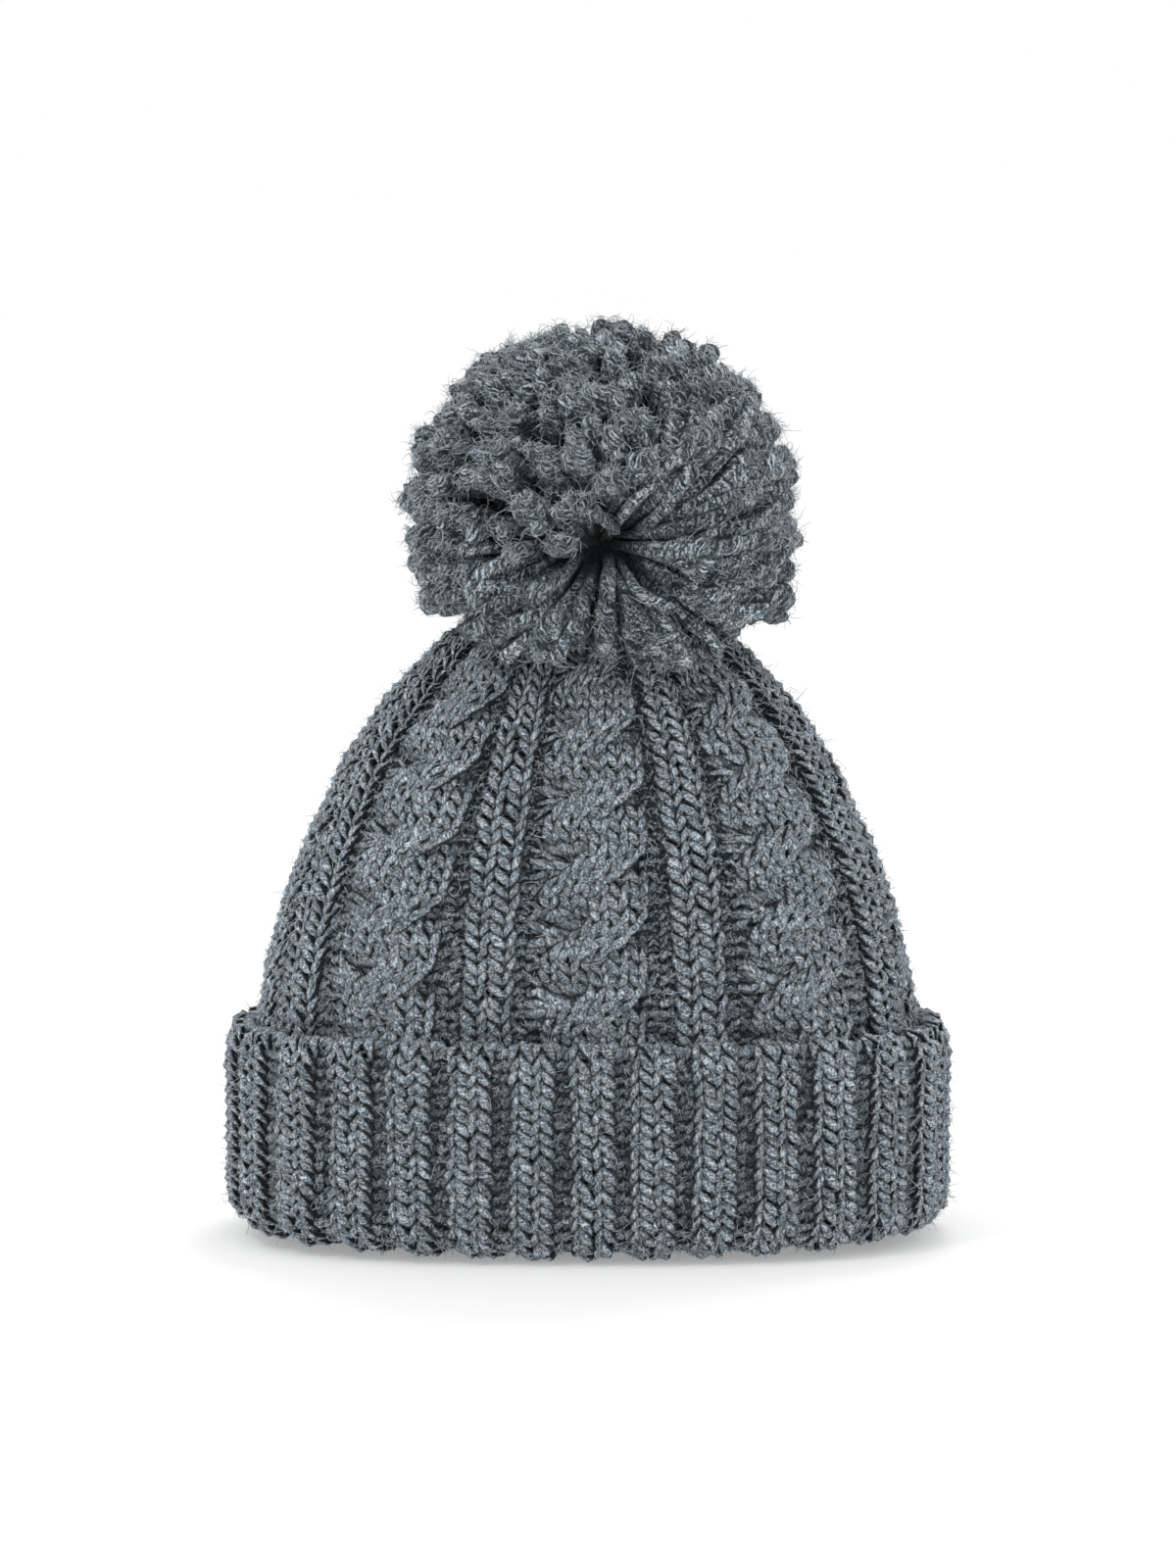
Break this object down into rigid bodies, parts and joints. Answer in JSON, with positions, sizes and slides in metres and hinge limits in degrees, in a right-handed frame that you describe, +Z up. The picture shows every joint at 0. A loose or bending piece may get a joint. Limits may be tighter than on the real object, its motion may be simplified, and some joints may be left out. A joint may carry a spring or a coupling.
{
  "type": "pom-pom beanie",
  "caption": "Knitted hat with a turned-up ribbed cuff, a cabled crown gathered at the top and a large tied yarn pompom.",
  "frame": {"origin": "centre of the hat at the plane the fold of the cuff rests on", "axes": "+Z up through the pompom, -Y towards the front, +X to the left-hand side of a wearer (the viewer's right)"},
  "size_m": [0.2084, 0.115, 0.2638],
  "materials": {
    "knit_yarn": "soft matt melange wool-blend yarn",
    "pompom_yarn": "cut fluffy yarn ends",
    "seam_yarn": "twisted linking yarn",
    "label_fabric": "blank woven satin tape"
  },
  "bodies": {
    "cuff": {"cuff_band": "knit_yarn", "cuff_cast_on_edge": "knit_yarn", "cuff_seam": "seam_yarn"},
    "crown": {"crown_knit": "knit_yarn", "crown_seam": "seam_yarn", "crown_gather_yarn": "seam_yarn", "label_stitching": "label_fabric"},
    "label": {"care_label": "label_fabric"},
    "tie": {"anchor_tie": "seam_yarn", "anchor_knot": "seam_yarn"},
    "neck": {"neck_wrap": "seam_yarn"},
    "pompom": {"pompom_yarn": "pompom_yarn", "pompom_waist_tie": "seam_yarn"}
  },
  "joints": [
    {"name": "cuff_turn_down", "type": "slide", "parent": "cuff", "child": "crown", "axis": [0, 0, 1], "range_m": [0, 0.054]},
    {"name": "label_flap", "type": "hinge", "parent": "crown", "child": "label", "pos_m": [0, 0.0363, 0.0922], "axis": [-1, 0, 0], "range_deg": [0, 60]},
    {"name": "pompom_twist", "type": "hinge", "parent": "crown", "child": "tie", "pos_m": [0, 0, 0.184], "axis": [0, 0, 1], "range_deg": [-20, 20], "stiffness_Nm_per_rad": 0.02},
    {"name": "pompom_sway", "type": "hinge", "parent": "tie", "child": "neck", "pos_m": [0, 0, 0.184], "axis": [0, 1, 0], "range_deg": [-11, 11], "stiffness_Nm_per_rad": 0.16},
    {"name": "pompom_nod", "type": "hinge", "parent": "neck", "child": "pompom", "pos_m": [0, 0, 0.184], "axis": [1, 0, 0], "range_deg": [-11, 11], "stiffness_Nm_per_rad": 0.16}
  ]
}
